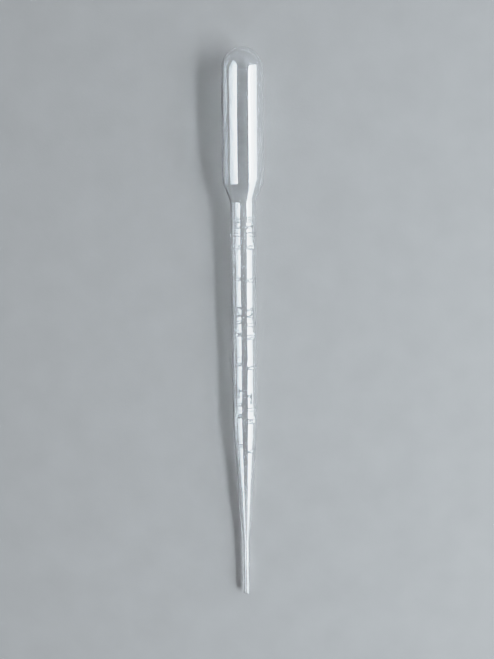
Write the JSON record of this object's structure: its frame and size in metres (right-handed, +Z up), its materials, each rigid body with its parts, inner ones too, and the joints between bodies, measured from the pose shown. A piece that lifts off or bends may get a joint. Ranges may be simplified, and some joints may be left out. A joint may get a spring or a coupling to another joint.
{
  "type": "medicine dropper",
  "caption": "One-piece translucent dropper with a squeeze bulb, a stem with a raised millilitre scale on both faces, a long taper and a fine open tip.",
  "frame": {"origin": "on the table, under the middle of the bounding box of the dropper as it lies", "axes": "+Y along the dropper towards the closed end of the bulb, +X to the right seen from above, +Z up from the table"},
  "size_m": [0.012, 0.165, 0.013],
  "materials": {
    "clear_polyethylene": "smooth, translucent, slightly milky natural low-density polyethylene"
  },
  "bodies": {
    "moulding": {"bulb_dome": "clear_polyethylene", "bulb_front_wall": "clear_polyethylene", "bulb_back_wall": "clear_polyethylene", "bulb_shoulder": "clear_polyethylene", "stem_barrel": "clear_polyethylene", "stem_taper": "clear_polyethylene", "tip_tube": "clear_polyethylene", "back_bar_0_5_ml": "clear_polyethylene", "back_bar_1_5_ml": "clear_polyethylene", "back_bar_1_ml": "clear_polyethylene", "back_bar_2_5_ml": "clear_polyethylene", "back_bar_2_ml": "clear_polyethylene", "back_bar_3_ml": "clear_polyethylene", "back_figure_1_ml": "clear_polyethylene", "back_figure_2_ml": "clear_polyethylene", "back_figure_3_ml": "clear_polyethylene", "back_letter_l_1_ml": "clear_polyethylene", "back_letter_l_2_ml": "clear_polyethylene", "back_letter_l_3_ml": "clear_polyethylene", "back_letter_m_1_ml": "clear_polyethylene", "back_letter_m_2_ml": "clear_polyethylene", "back_letter_m_3_ml": "clear_polyethylene", "front_bar_0_5_ml": "clear_polyethylene", "front_bar_1_5_ml": "clear_polyethylene", "front_bar_1_ml": "clear_polyethylene", "front_bar_2_5_ml": "clear_polyethylene", "front_bar_2_ml": "clear_polyethylene", "front_bar_3_ml": "clear_polyethylene", "front_figure_1_ml": "clear_polyethylene", "front_figure_2_ml": "clear_polyethylene", "front_figure_3_ml": "clear_polyethylene", "front_letter_l_1_ml": "clear_polyethylene", "front_letter_l_2_ml": "clear_polyethylene", "front_letter_l_3_ml": "clear_polyethylene", "front_letter_m_1_ml": "clear_polyethylene", "front_letter_m_2_ml": "clear_polyethylene", "front_letter_m_3_ml": "clear_polyethylene"},
    "bulb_right_side": {"bulb_right_wall": "clear_polyethylene"},
    "bulb_left_side": {"bulb_left_wall": "clear_polyethylene"}
  },
  "joints": [
    {"name": "squeeze_right", "type": "slide", "parent": "moulding", "child": "bulb_right_side", "axis": [-1, 0, 0], "range_m": [0, 0.0035], "stiffness_N_per_m": 1100},
    {"name": "squeeze_left", "type": "slide", "parent": "moulding", "child": "bulb_left_side", "axis": [1, 0, 0], "range_m": [0, 0.0035], "stiffness_N_per_m": 1100}
  ],
  "couplings": [
    {"joint": "squeeze_left", "follows": "squeeze_right", "ratio": 1}
  ]
}
